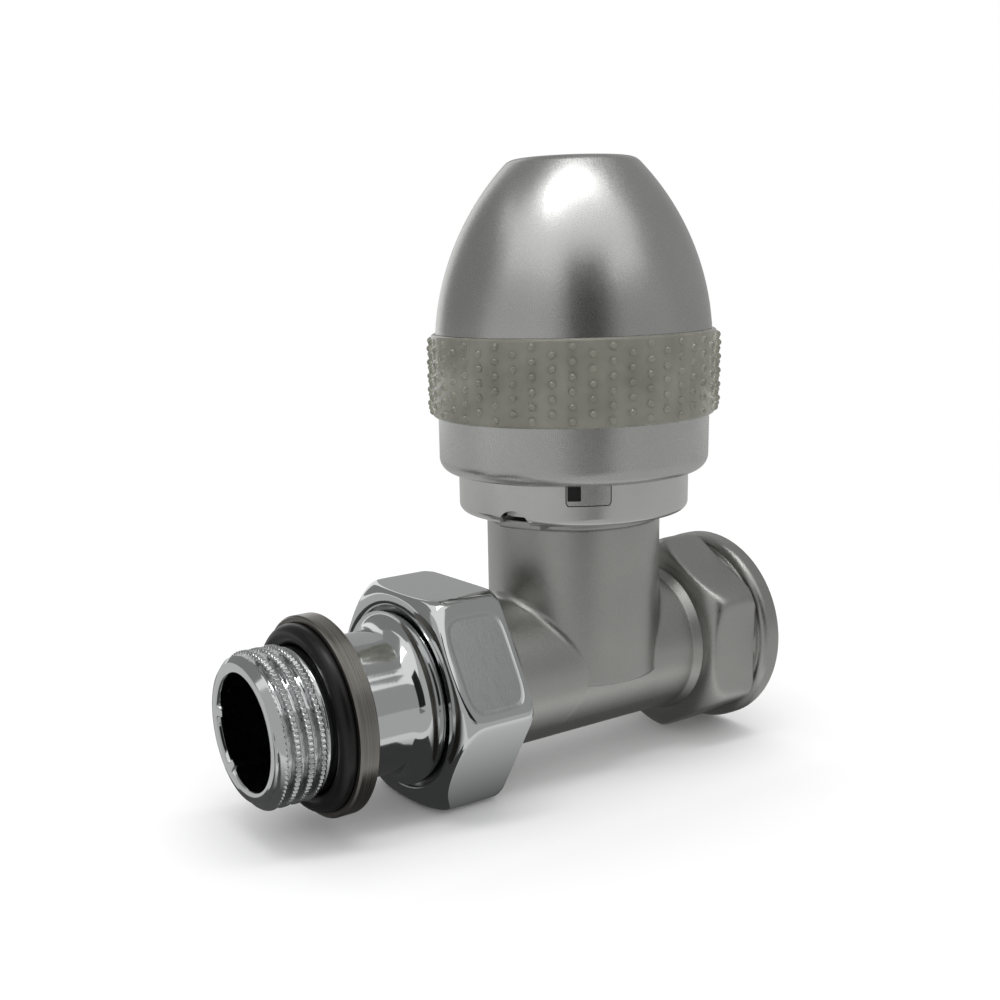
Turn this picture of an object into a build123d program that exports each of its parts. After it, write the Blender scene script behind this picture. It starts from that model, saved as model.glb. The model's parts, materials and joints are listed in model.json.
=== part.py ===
from build123d import *
from math import cos, pi, radians, sin, sqrt
import os

os.makedirs("parts", exist_ok=True)

# A straight radiator valve with a handwheel and a union tailpiece, in millimetres, +Z up.
# The origin is the middle of the pipe port's mouth. The pipe axis is X, with the port's mouth facing +X
# and the tailpiece at the -X end. The stem is upright at the distance port_reach behind the mouth.
# Sketch points are (along, up) from where the stem axis crosses the pipe axis: along is towards the port
# for what is turned round the pipe axis, and is the radius for what is turned round the stem axis.

# Fits and clearances
running_clearance = 0.08
seated_clearance = 0.03
face_clearance = 0.15
thread_clearance = 0.06
cut_margin = 1.0

# Valve body, pipe run
port_reach = 28.5
port_thread_radius = 9.3
port_thread_depth = 12.0
port_collar_length = 3.4
port_collar_radius = 14.9
port_collar_front_round = 1.2
port_collar_mouth_round = 0.7
port_groove_width = 0.8
port_groove_radius = 13.6
port_hex_across_flats = 27.0
port_hex_length = 8.0
port_hex_corner_round = 2.4
port_hex_circle_radius = 15.3
port_hex_crown_length = 4.1
port_hex_rear_bevel = 0.5
shoulder_length = 2.0
shoulder_radius = 11.7
barrel_radius = 10.8
inlet_radius = 3.8
inlet_drop = 3.4
outlet_radius = 3.6
outlet_rise = 5.8

# Valve body, union end
nut_thread_start = 19.6
nut_thread_radius = 13.0
nut_thread_length = 8.0
nut_thread_lead = 0.6
socket_radius = 7.5
socket_depth = 12.6

# Valve body, neck and seat
neck_radius = 12.5
neck_depth = 6.3
neck_ledge = -1.0
neck_top = 21.5
neck_root_round = 1.2
chamber_radius = 9.4
chamber_floor = 2.0
pocket_radius = 5.0
pocket_floor = -7.2
seat_lip_radius = 6.2
seat_lip_height = 0.8
bonnet_thread_radius = 10.1
bonnet_thread_depth = 8.5

# Bonnet
bonnet_flange_radius = 12.6
bonnet_flange_height = 1.9
bonnet_shoulder_radius = 9.0
bonnet_shoulder_height = 6.9
bonnet_boss_radius = 7.0
bonnet_boss_height = 4.8
spindle_thread_radius = 5.0
spindle_thread_room = 11.0
tab_radius = 15.1
tab_width = 6.4
tab_height = 1.1
tab_drop = 0.4
tab_root = 1.0
bonnet_ring_section = 0.7

# Spindle, plug and gland
stem_radius = 3.9
spindle_thread_length = 8.0
spindle_thread_overhang = 1.0
spindle_lift = 3.75
plug_height = 2.3
plug_rim = 0.6
washer_radius = 7.5
washer_thickness = 2.4
washer_grip = 1.4
washer_hole_radius = 1.8
plug_screw_head_radius = 3.2
plug_screw_head_height = 1.2
plug_screw_length = 6.0
spindle_ring_section = 0.8
spindle_ring_gap = 3.2
spindle_ring_drop = 0.6
spindle_ring_squeeze = 0.1
packing_radius = 5.5
packing_height = 1.6
gland_height = 2.4
drive_hex_across_flats = 6.0
drive_hex_length = 11.5
drive_hex_rise = 0.6

# Handwheel clip
clip_radius = 8.6
clip_thickness = 0.8
clip_groove_depth = 0.6
clip_gap = 6.0

# Cover collar below the handwheel
collar_radius = 16.45
collar_wall = 1.25
collar_bottom = 22.6
collar_top = 30.2
collar_edge_round = 1.1
collar_web = 1.2
notch_width = 4.8
notch_height = 2.0
notch_azimuth = 201

# Handwheel
skirt_radius = 19.2
skirt_bottom = 28.3
skirt_lip_radius = 16.95
skirt_edge_round = 2.1
core_wall = 1.4
web_thickness = 2.2
tower_radius = 11.6
tower_wall = 1.8
tower_height = 3.6
hub_flange_radius = 11.0
hub_flange_height = 1.5
hub_radius = 5.6
hub_height = 9.0
hub_spigot = 1.0
band_bottom = 36.2
band_height = 11.6
band_seat_depth = 0.9
band_radius = 20.0
band_edge_round = 0.45
dome_radius = 19.35
dome_shoulder_radius = 16.3
dome_shoulder_height = 12.0
dome_top_radius = 9.3
dome_edge_height = 22.3
dome_height = 23.1
dome_wall = 1.5
dome_spigot = 4.2
dome_crown_width = 1.6
dome_crown_rise = 0.65
dome_inner_top_radius = 7.1
dome_inner_top_drop = 1.2
dome_inner_shoulder_radius = 14.6
dome_inner_shoulder_drop = 0.6

# Grip pimples, in upright columns that alternate long and short
pimple_columns = 48
pimple_rows = 6
pimple_pitch = 1.9
pimple_radius = 0.52
pimple_height = 0.65
pimple_taper = 14
pimple_root_depth = 0.25
pimple_phase = 5.6

# Union nut
nut_across_flats = 29.5
nut_rear = 20.3
nut_length = 10.9
nut_corner_round = 0.8
nut_hole_radius = 12.6
nut_crown_radius = 13.5
nut_crown_depth = 4.0
nut_crown_middle_depth = 1.1
nut_crown_middle_radius = 15.6
nut_rear_circle_radius = 16.5
nut_rear_bevel = 0.9
nut_lip = 1.1

# Snap ring that holds the nut on the tailpiece
snap_ring_outer_radius = 13.45
snap_ring_thickness = 1.0
snap_ring_bite = 0.8

# Tailpiece
tail_length = 54.5
tail_thread_radius = 10.48
tail_thread_length = 7.4
tail_thread_lead = 1.3
tail_radius = 9.9
tail_bore_radius = 7.8
tail_flange_radius = 12.1
tail_flange_front = 32.2
tail_flare_length = 2.6
tail_flare_radius = 3.6
spigot_bore_radius = 5.8
spigot_length = 9.5
seat_ring_section = 0.8
lug_width = 1.2
lug_height = 0.9
lug_length = 6.0
lug_inset = 0.4
lug_angles = (6, -52)

# Backing ring and its seal
backing_ring_radius = 13.6
backing_ring_front = 44.8
backing_ring_width = 2.8
backing_ring_edge = 0.25
backing_ring_lip = 0.8
backing_ring_recess = 1.0
tail_seal_section = 1.4

stem_x = -port_reach
section = Plane(origin=(stem_x, 0, 0), x_dir=(1, 0, 0), z_dir=(0, -1, 0))
lower_section = Plane(origin=(stem_x, 0, 0), x_dir=(1, 0, 0), z_dir=(0, 1, 0))
stem_axis = Axis((stem_x, 0, 0), (0, 0, 1))


def level(height):
    """A level plane centred on the stem axis at this height."""
    return Plane(origin=(stem_x, 0, height), x_dir=(1, 0, 0), z_dir=(0, 0, 1))


def station(along):
    """An upright plane centred on the pipe axis, facing +X, this far from the stem towards the port."""
    return Plane(origin=(stem_x + along, 0, 0), x_dir=(0, 1, 0), z_dir=(1, 0, 0))


def finish(part, label):
    """Names the piece and writes its file."""
    part.label = label
    export_step(part, f"parts/{label}.step")


# Valve body: one casting with the port, the neck, the seat and the union's male thread
collar_start = port_reach - port_collar_length
hex_end = collar_start - port_groove_width
hex_start = hex_end - port_hex_length
shoulder_start = hex_start - shoulder_length
nut_thread_end = nut_thread_start + nut_thread_length
seat_height = chamber_floor + seat_lip_height
bonnet_bore_floor = neck_top - bonnet_thread_depth

with BuildPart() as port_hex:
    with BuildSketch(station(hex_start)):
        hexagon = RegularPolygon(port_hex_across_flats / 2, 6, major_radius=False, rotation=30)
        fillet(hexagon.vertices(), radius=port_hex_corner_round)
    extrude(amount=port_hex_length)
    with BuildSketch(lower_section):
        with BuildLine():
            Polyline(
                (hex_start, 0),
                (hex_start, shoulder_radius),
                (hex_start + port_hex_crown_length, port_hex_circle_radius),
                (hex_end - port_hex_rear_bevel, port_hex_circle_radius),
                (hex_end, port_hex_circle_radius - port_hex_rear_bevel),
                (hex_end, 0),
                close=True,
            )
        make_face()
    revolve(axis=Axis.X, mode=Mode.INTERSECT)

with BuildPart() as valve_body:
    with BuildSketch(lower_section):
        with BuildLine():
            Polyline(
                (collar_start, 0),
                (collar_start, port_groove_radius),
                (hex_end, port_groove_radius),
                (hex_start, shoulder_radius),
                (shoulder_start, barrel_radius),
                (-nut_thread_start + nut_thread_radius - barrel_radius, barrel_radius),
                (-nut_thread_start, nut_thread_radius),
                (-nut_thread_end + nut_thread_lead, nut_thread_radius),
                (-nut_thread_end, nut_thread_radius - nut_thread_lead),
                (-nut_thread_end, 0),
                close=True,
            )
        make_face()
    revolve(axis=Axis.X)
    with BuildSketch(Plane(origin=(stem_x, 0, -neck_depth), x_dir=(0, 1, 0), z_dir=(0, 0, 1))):
        Circle(neck_radius)
    extrude(amount=neck_top + neck_depth)
    fillet(valve_body.edges().filter_by(GeomType.BSPLINE), radius=neck_root_round)
    # The neck stands out from the barrel only above its ledge
    with BuildSketch(station(-neck_radius - neck_root_round)):
        with Locations((0, neck_ledge - port_collar_radius)):
            Rectangle(2 * port_collar_radius, 2 * port_collar_radius)
        Circle(barrel_radius + seated_clearance, mode=Mode.SUBTRACT)
    extrude(amount=2 * (neck_radius + neck_root_round), mode=Mode.SUBTRACT)
    add(port_hex.part)
    with BuildSketch(station(collar_start)):
        Circle(port_collar_radius)
    extrude(amount=port_collar_length)
    collar_rims = valve_body.edges().filter_by(lambda edge: edge.geom_type == GeomType.CIRCLE)
    collar_rims = collar_rims.filter_by(lambda edge: edge.radius == port_collar_radius).sort_by(Axis.X)
    fillet(collar_rims[0], radius=port_collar_front_round)
    fillet(valve_body.faces().sort_by(Axis.X)[-1].outer_wire().edges(), radius=port_collar_mouth_round)
    # Waterway: port, low passage, pocket under the seat, chamber above it, high passage, socket
    with Locations(Location((0, 0, 0), (0, 90, 0))):
        Cylinder(port_thread_radius, 2 * port_thread_depth, mode=Mode.SUBTRACT)
    with BuildSketch(station(0)):
        with Locations((0, -inlet_drop)):
            Circle(inlet_radius)
    extrude(amount=port_reach - port_thread_depth + cut_margin, mode=Mode.SUBTRACT)
    with BuildSketch(section):
        with BuildLine():
            Polyline(
                (0, pocket_floor),
                (pocket_radius, pocket_floor),
                (pocket_radius, seat_height),
                (seat_lip_radius, seat_height),
                (seat_lip_radius, chamber_floor),
                (chamber_radius, chamber_floor),
                (chamber_radius, bonnet_bore_floor),
                (bonnet_thread_radius, bonnet_bore_floor),
                (bonnet_thread_radius, neck_top + cut_margin),
                (0, neck_top + cut_margin),
                close=True,
            )
        make_face()
    revolve(axis=stem_axis, mode=Mode.SUBTRACT)
    with BuildSketch(station(-nut_thread_end)):
        Circle(socket_radius)
    extrude(amount=socket_depth, mode=Mode.SUBTRACT)
    with BuildSketch(station(-nut_thread_end + socket_depth - cut_margin)):
        with Locations((0, outlet_rise)):
            Circle(outlet_radius)
    extrude(amount=nut_thread_end - socket_depth + cut_margin - pocket_radius, mode=Mode.SUBTRACT)
finish(valve_body.part, "valve_body")

# Bonnet: screwed into the neck, carries the spindle thread, the gland and the handwheel's bearing
bonnet_top = neck_top + bonnet_flange_height + bonnet_shoulder_height + bonnet_boss_height
flange_top = neck_top + bonnet_flange_height
shoulder_top = flange_top + bonnet_shoulder_height
web_bottom = shoulder_top + face_clearance
clip_bottom = web_bottom + web_thickness + face_clearance
bonnet_bottom = bonnet_bore_floor + face_clearance
spindle_bore_radius = spindle_thread_radius + running_clearance
spindle_bore_top = bonnet_bottom + spindle_thread_room
gland_bore_floor = bonnet_top - packing_height - gland_height

with BuildPart() as bonnet:
    with BuildSketch(section):
        with BuildLine():
            Polyline(
                (spindle_bore_radius, bonnet_bottom),
                (bonnet_thread_radius - thread_clearance, bonnet_bottom),
                (bonnet_thread_radius - thread_clearance, neck_top - 2 * bonnet_ring_section),
                (bonnet_thread_radius - 2 * bonnet_ring_section, neck_top - 2 * bonnet_ring_section),
                (bonnet_thread_radius - 2 * bonnet_ring_section, neck_top),
                (bonnet_flange_radius, neck_top),
                (bonnet_flange_radius, flange_top),
                (bonnet_shoulder_radius, flange_top),
                (bonnet_shoulder_radius, shoulder_top),
                (bonnet_boss_radius, shoulder_top),
                (bonnet_boss_radius, clip_bottom),
                (bonnet_boss_radius - clip_groove_depth, clip_bottom),
                (bonnet_boss_radius - clip_groove_depth, clip_bottom + clip_thickness + seated_clearance),
                (bonnet_boss_radius, clip_bottom + clip_thickness + seated_clearance),
                (bonnet_boss_radius, bonnet_top),
                (packing_radius + seated_clearance, bonnet_top),
                (packing_radius + seated_clearance, gland_bore_floor),
                (stem_radius + running_clearance, gland_bore_floor),
                (stem_radius + running_clearance, spindle_bore_top),
                (spindle_bore_radius, spindle_bore_top),
                close=True,
            )
        make_face()
    revolve(axis=stem_axis)
    # Rounded locating tab, seen through the collar's notch
    with BuildSketch(level(neck_top + tab_drop)):
        Circle(tab_radius)
        with PolarLocations(tab_radius / 2, 1, start_angle=notch_azimuth):
            Rectangle(tab_radius, tab_width, mode=Mode.INTERSECT)
        Circle(bonnet_flange_radius - tab_root, mode=Mode.SUBTRACT)
    extrude(amount=tab_height)
finish(bonnet.part, "bonnet")

with BuildPart() as bonnet_o_ring:
    with BuildSketch(section):
        with Locations((bonnet_thread_radius - bonnet_ring_section, neck_top - bonnet_ring_section)):
            Circle(bonnet_ring_section - seated_clearance)
    revolve(axis=stem_axis)
finish(bonnet_o_ring.part, "bonnet_o_ring")

# Cover collar: a short cup over the bonnet flange, with a half-round notch in its lower edge
with BuildPart() as cover_collar:
    collar_inner_radius = collar_radius - collar_wall
    with BuildSketch(section):
        with BuildLine():
            Line((collar_radius, collar_top), (collar_radius, collar_bottom + collar_edge_round))
            RadiusArc(
                (collar_radius, collar_bottom + collar_edge_round),
                (collar_radius - collar_edge_round, collar_bottom),
                collar_edge_round,
            )
            Polyline(
                (collar_radius - collar_edge_round, collar_bottom),
                (collar_inner_radius, collar_bottom),
                (collar_inner_radius, flange_top),
                (bonnet_shoulder_radius + seated_clearance, flange_top),
                (bonnet_shoulder_radius + seated_clearance, flange_top + collar_web),
                (collar_inner_radius, flange_top + collar_web),
                (collar_inner_radius, collar_top),
                (collar_radius, collar_top),
            )
        make_face()
    revolve(axis=stem_axis)
    notch_plane = Plane(
        origin=(stem_x, 0, collar_bottom),
        x_dir=(-sin(radians(notch_azimuth)), cos(radians(notch_azimuth)), 0),
        z_dir=(cos(radians(notch_azimuth)), sin(radians(notch_azimuth)), 0),
    )
    with BuildSketch(notch_plane.offset(collar_inner_radius - cut_margin)):
        Ellipse(notch_width / 2, notch_height)
    extrude(amount=collar_wall + 2 * cut_margin, mode=Mode.SUBTRACT)
finish(cover_collar.part, "cover_collar")

# Spindle: plug cup, thread, stem with two seal grooves, and the hexagon that slides in the drive hub
washer_bottom = seat_height + seated_clearance
plug_face = washer_bottom + washer_thickness
plug_top = plug_face + plug_height
thread_bottom = bonnet_bottom - spindle_thread_overhang
thread_top = thread_bottom + spindle_thread_length
hex_bottom = bonnet_top + drive_hex_rise
lower_ring_height = spindle_bore_top + spindle_lift / 2 - spindle_ring_drop
upper_ring_height = lower_ring_height + spindle_ring_gap
groove_radius = stem_radius - 2 * spindle_ring_section + spindle_ring_squeeze
groove_half = spindle_ring_section + seated_clearance

with BuildPart() as spindle:
    with BuildSketch(section):
        with BuildLine():
            Polyline(
                (0, plug_face),
                (washer_radius + seated_clearance, plug_face),
                (washer_radius + seated_clearance, plug_face - washer_grip),
                (washer_radius + seated_clearance + plug_rim, plug_face - washer_grip),
                (washer_radius + seated_clearance + plug_rim, plug_top),
                (stem_radius, plug_top),
                (stem_radius, thread_bottom),
                (spindle_thread_radius, thread_bottom),
                (spindle_thread_radius, thread_top),
                (stem_radius, thread_top),
                (stem_radius, lower_ring_height - groove_half),
                (groove_radius, lower_ring_height - groove_half),
                (groove_radius, lower_ring_height + groove_half),
                (stem_radius, lower_ring_height + groove_half),
                (stem_radius, upper_ring_height - groove_half),
                (groove_radius, upper_ring_height - groove_half),
                (groove_radius, upper_ring_height + groove_half),
                (stem_radius, upper_ring_height + groove_half),
                (stem_radius, hex_bottom),
                (0, hex_bottom),
                close=True,
            )
        make_face()
    revolve(axis=stem_axis)
    with BuildSketch(level(hex_bottom)):
        RegularPolygon(drive_hex_across_flats / 2, 6, major_radius=False)
    extrude(amount=drive_hex_length)
    with BuildSketch(level(plug_face)):
        Circle(washer_hole_radius + seated_clearance)
    extrude(amount=plug_screw_length - washer_thickness + seated_clearance, mode=Mode.SUBTRACT)
finish(spindle.part, "spindle")

ring_heights = {"spindle_o_ring_lower": lower_ring_height, "spindle_o_ring_upper": upper_ring_height}
for name, ring_height in ring_heights.items():
    with BuildPart() as spindle_o_ring:
        with BuildSketch(section):
            with Locations((groove_radius + spindle_ring_section, ring_height)):
                Circle(spindle_ring_section - seated_clearance)
        revolve(axis=stem_axis)
    finish(spindle_o_ring.part, name)

with BuildPart() as plug_washer:
    with BuildSketch(level(washer_bottom)):
        Circle(washer_radius)
        Circle(washer_hole_radius + seated_clearance, mode=Mode.SUBTRACT)
    extrude(amount=washer_thickness)
finish(plug_washer.part, "plug_washer")

with BuildPart() as plug_screw:
    with BuildSketch(level(washer_bottom - plug_screw_head_height)):
        Circle(plug_screw_head_radius)
    extrude(amount=plug_screw_head_height)
    with BuildSketch(level(washer_bottom)):
        Circle(washer_hole_radius)
    extrude(amount=plug_screw_length)
    with BuildSketch(level(washer_bottom - plug_screw_head_height)):
        Rectangle(2 * plug_screw_head_radius, plug_screw_head_height / 2)
    extrude(amount=plug_screw_head_height / 2, mode=Mode.SUBTRACT)
finish(plug_screw.part, "plug_screw")

with BuildPart() as gland_packing:
    with BuildSketch(level(gland_bore_floor)):
        Circle(packing_radius)
        Circle(stem_radius + running_clearance, mode=Mode.SUBTRACT)
    extrude(amount=packing_height)
finish(gland_packing.part, "gland_packing")

with BuildPart() as gland_nut:
    with BuildSketch(level(gland_bore_floor + packing_height)):
        Circle(packing_radius)
        Circle(stem_radius + running_clearance, mode=Mode.SUBTRACT)
    extrude(amount=gland_height)
    with BuildSketch(level(bonnet_top - gland_height / 2)):
        Rectangle(2 * packing_radius, gland_height / 2)
    extrude(amount=gland_height / 2, mode=Mode.SUBTRACT)
finish(gland_nut.part, "gland_nut")

# Open clip in the bonnet's groove, which holds the handwheel down
with BuildPart() as handwheel_clip:
    with BuildSketch(level(clip_bottom)):
        Circle(clip_radius)
        Circle(bonnet_boss_radius - clip_groove_depth + seated_clearance, mode=Mode.SUBTRACT)
        with PolarLocations(clip_radius, 1):
            Rectangle(2 * clip_radius, clip_gap, mode=Mode.SUBTRACT)
    extrude(amount=clip_thickness)
finish(handwheel_clip.part, "handwheel_clip")

# Handwheel core: skirt, band seat, bearing web and the tower that carries the drive hub
band_top = band_bottom + band_height
seat_radius = skirt_radius - band_seat_depth
core_inner_radius = seat_radius - core_wall
web_top = web_bottom + web_thickness
tower_top = web_top + tower_height

with BuildPart() as handwheel_core:
    with BuildSketch(section):
        with BuildLine():
            RadiusArc(
                (skirt_radius, skirt_bottom + skirt_edge_round),
                (skirt_radius - skirt_edge_round, skirt_bottom),
                skirt_edge_round,
            )
            Polyline(
                (skirt_radius - skirt_edge_round, skirt_bottom),
                (skirt_lip_radius, skirt_bottom),
                (skirt_lip_radius, web_bottom),
                (bonnet_boss_radius + running_clearance, web_bottom),
                (bonnet_boss_radius + running_clearance, web_top),
                (tower_radius - tower_wall, web_top),
                (tower_radius - tower_wall, tower_top),
                (tower_radius, tower_top),
                (tower_radius, web_top),
                (core_inner_radius, web_top),
                (core_inner_radius, band_top),
                (seat_radius, band_top),
                (seat_radius, band_bottom),
                (skirt_radius, band_bottom),
                (skirt_radius, skirt_bottom + skirt_edge_round),
            )
        make_face()
    revolve(axis=stem_axis)
finish(handwheel_core.part, "handwheel_core")

with BuildPart() as drive_hub:
    with BuildSketch(level(tower_top)):
        Circle(hub_flange_radius)
    extrude(amount=hub_flange_height)
    with BuildSketch(level(tower_top)):
        Circle(hub_radius)
    extrude(amount=hub_height)
    with BuildSketch(level(tower_top)):
        Circle(tower_radius - tower_wall - seated_clearance)
    extrude(amount=-hub_spigot)
    with BuildSketch(level(tower_top - hub_spigot)):
        RegularPolygon(drive_hex_across_flats / 2 + running_clearance, 6, major_radius=False)
    extrude(amount=hub_height + hub_spigot, mode=Mode.SUBTRACT)
    # Room for the round stem as the spindle rises
    with BuildSketch(level(tower_top - hub_spigot)):
        Circle(stem_radius + running_clearance)
    extrude(amount=hex_bottom + spindle_lift + face_clearance - tower_top + hub_spigot, mode=Mode.SUBTRACT)
finish(drive_hub.part, "drive_hub")

# Dome cap: a hollow shell that plugs into the core above the band
dome_bottom = band_top
dome_edge = dome_bottom + dome_edge_height
dome_top = dome_bottom + dome_height
spigot_inner_radius = core_inner_radius - core_wall
with BuildPart() as dome_cap:
    with BuildSketch(section):
        with BuildLine():
            side = ThreePointArc(
                (dome_radius, dome_bottom),
                (dome_shoulder_radius, dome_bottom + dome_shoulder_height),
                (dome_top_radius, dome_edge),
            )
            crown_end = (dome_top_radius - dome_crown_width, dome_edge + dome_crown_rise)
            crown = TangentArc((dome_top_radius, dome_edge), crown_end, tangent=side % 1)
            Spline(crown @ 1, (0, dome_top), tangents=(crown % 1, (-1, 0)))
            Line((0, dome_top), (0, dome_top - dome_wall))
            Line((0, dome_top - dome_wall), (dome_inner_top_radius, dome_edge - dome_inner_top_drop))
            ThreePointArc(
                (dome_inner_top_radius, dome_edge - dome_inner_top_drop),
                (dome_inner_shoulder_radius, dome_bottom + dome_shoulder_height - dome_inner_shoulder_drop),
                (spigot_inner_radius, dome_bottom),
            )
            Polyline(
                (spigot_inner_radius, dome_bottom),
                (spigot_inner_radius, dome_bottom - dome_spigot),
                (core_inner_radius - seated_clearance, dome_bottom - dome_spigot),
                (core_inner_radius - seated_clearance, dome_bottom),
                (dome_radius, dome_bottom),
            )
        make_face()
    revolve(axis=stem_axis)
finish(dome_cap.part, "dome_cap")

# Grip band: a soft sleeve with rows of pimples that stand out from it
pimple_foot = band_radius - pimple_root_depth
sleeve_wall = band_radius - seat_radius - seated_clearance
with BuildPart() as grip_band:
    with BuildSketch(section):
        with Locations((band_radius - sleeve_wall / 2, band_bottom + band_height / 2)):
            RectangleRounded(sleeve_wall, band_height - 2 * seated_clearance, band_edge_round)
    revolve(axis=stem_axis)
    spots = []
    for column in range(pimple_columns):
        azimuth = 2 * pi * column / pimple_columns + radians(pimple_phase)
        rows = pimple_rows - column % 2
        for row in range(rows):
            height = band_bottom + band_height / 2 + (row - (rows - 1) / 2) * pimple_pitch
            foot = (stem_x + pimple_foot * cos(azimuth), pimple_foot * sin(azimuth), height)
            spots.append(Plane(origin=foot, x_dir=(0, 0, 1), z_dir=(cos(azimuth), sin(azimuth), 0)))
    with BuildSketch(*spots):
        RegularPolygon(pimple_radius, 6)
    extrude(amount=band_radius + pimple_height - pimple_foot, taper=pimple_taper)
finish(grip_band.part, "grip_band")

# Union nut: a crowned hexagon, captive on the tailpiece by a snap ring
nut_front = nut_rear + nut_length
ring_front = nut_front - nut_lip
nut_corner_radius = nut_across_flats / sqrt(3)
nut_bore_radius = nut_thread_radius + thread_clearance
snap_groove_radius = snap_ring_outer_radius + running_clearance

with BuildPart() as union_nut:
    with BuildSketch(station(-nut_front)):
        blank = RegularPolygon(nut_across_flats / 2, 6, major_radius=False)
        fillet(blank.vertices(), radius=nut_corner_round)
    extrude(amount=nut_length)
    with BuildSketch(section):
        with BuildLine():
            Line((-nut_front, 0), (-nut_front, nut_crown_radius))
            ThreePointArc(
                (-nut_front, nut_crown_radius),
                (-nut_front + nut_crown_middle_depth, nut_crown_middle_radius),
                (-nut_front + nut_crown_depth, nut_corner_radius),
            )
            Polyline(
                (-nut_front + nut_crown_depth, nut_corner_radius),
                (-nut_rear - nut_rear_bevel, nut_corner_radius),
                (-nut_rear, nut_rear_circle_radius),
                (-nut_rear, 0),
                (-nut_front, 0),
            )
        make_face()
    revolve(axis=Axis.X, mode=Mode.INTERSECT)
    with BuildSketch(section):
        with BuildLine():
            Polyline(
                (-nut_front - cut_margin, 0),
                (-nut_front - cut_margin, nut_hole_radius),
                (-ring_front, nut_hole_radius),
                (-ring_front, snap_groove_radius),
                (-ring_front + snap_ring_thickness + running_clearance, snap_groove_radius),
                (-ring_front + snap_ring_thickness + running_clearance, nut_bore_radius),
                (-nut_rear + cut_margin, nut_bore_radius),
                (-nut_rear + cut_margin, 0),
                close=True,
            )
        make_face()
    revolve(axis=Axis.X, mode=Mode.SUBTRACT)
finish(union_nut.part, "union_nut")

with BuildPart() as nut_snap_ring:
    with BuildSketch(station(-ring_front + running_clearance / 2)):
        Circle(snap_ring_outer_radius)
        Circle(tail_flange_radius - snap_ring_bite + seated_clearance, mode=Mode.SUBTRACT)
    extrude(amount=snap_ring_thickness)
finish(nut_snap_ring.part, "nut_snap_ring")

# Tailpiece: radiator thread, plain tube, flange with the snap ring's groove, and the spigot in the socket
flange_rear = nut_thread_end + face_clearance
spigot_radius = socket_radius - running_clearance
spigot_end = flange_rear - spigot_length
seat_ring_place = flange_rear - spigot_length / 2
thread_inner_end = tail_length - tail_thread_length

with BuildPart() as tailpiece:
    with BuildSketch(section):
        with BuildLine():
            Polyline(
                (-tail_flange_front, tail_flange_radius),
                (-ring_front, tail_flange_radius),
                (-ring_front, tail_flange_radius - snap_ring_bite),
                (-ring_front + snap_ring_thickness + running_clearance, tail_flange_radius - snap_ring_bite),
                (-ring_front + snap_ring_thickness + running_clearance, tail_flange_radius),
                (-flange_rear, tail_flange_radius),
                (-flange_rear, spigot_radius),
                (-seat_ring_place - seat_ring_section, spigot_radius),
                (-seat_ring_place - seat_ring_section, socket_radius - 2 * seat_ring_section),
                (-seat_ring_place + seat_ring_section, socket_radius - 2 * seat_ring_section),
                (-seat_ring_place + seat_ring_section, spigot_radius),
                (-spigot_end, spigot_radius),
                (-spigot_end, spigot_bore_radius),
                (-flange_rear, spigot_bore_radius),
                (-flange_rear - (tail_bore_radius - spigot_bore_radius), tail_bore_radius),
                (-tail_length, tail_bore_radius),
                (-tail_length, tail_thread_radius - tail_thread_lead),
                (-tail_length + tail_thread_lead, tail_thread_radius),
                (-thread_inner_end, tail_thread_radius),
                (-thread_inner_end, tail_radius),
                (-tail_flange_front - tail_flare_length, tail_radius),
            )
            RadiusArc(
                (-tail_flange_front - tail_flare_length, tail_radius),
                (-tail_flange_front, tail_flange_radius),
                -tail_flare_radius,
            )
        make_face()
    revolve(axis=Axis.X)
    for angle in lug_angles:
        with BuildSketch(station(-tail_length + lug_inset)):
            with PolarLocations(tail_bore_radius, 1, start_angle=angle):
                Rectangle(2 * lug_height, lug_width)
        extrude(amount=lug_length)
finish(tailpiece.part, "tailpiece")

with BuildPart() as tail_seat_ring:
    with BuildSketch(section):
        with Locations((-seat_ring_place, socket_radius - seat_ring_section)):
            Circle(seat_ring_section - seated_clearance)
    revolve(axis=Axis.X)
finish(tail_seat_ring.part, "tail_seat_ring")

# Backing ring, recessed in front for the rubber seal that meets the radiator
with BuildPart() as backing_ring:
    recess_radius = backing_ring_radius - backing_ring_lip
    with BuildSketch(section):
        with BuildLine():
            Polyline(
                (-backing_ring_front + backing_ring_recess, tail_radius + seated_clearance),
                (-backing_ring_front + backing_ring_recess, recess_radius),
                (-backing_ring_front, recess_radius),
                (-backing_ring_front, backing_ring_radius - backing_ring_edge),
                (-backing_ring_front + backing_ring_edge, backing_ring_radius),
                (-backing_ring_front + backing_ring_width - backing_ring_edge, backing_ring_radius),
                (-backing_ring_front + backing_ring_width, backing_ring_radius - backing_ring_edge),
                (-backing_ring_front + backing_ring_width, tail_radius + seated_clearance),
                close=True,
            )
        make_face()
    revolve(axis=Axis.X)
finish(backing_ring.part, "backing_ring")

with BuildPart() as tail_seal:
    with BuildSketch(section):
        seal_place = backing_ring_front - backing_ring_recess + tail_seal_section + seated_clearance
        with Locations((-seal_place, tail_radius + tail_seal_section + seated_clearance)):
            Circle(tail_seal_section)
    revolve(axis=Axis.X)
finish(tail_seal.part, "tail_seal")
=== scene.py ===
"""A straight radiator valve in satin and polished chrome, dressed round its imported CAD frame.

Metres, +Z up. The pipe axis is X, with the port's mouth at the origin and facing +X. The stem is upright
at STEM_X. Lengths below are written as millimetres times MM. A distance "along" is counted from the stem
towards the port, so the tailpiece has negative ones.
"""

import json

import bpy
import numpy as np
from mathutils import Matrix, Vector


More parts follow.
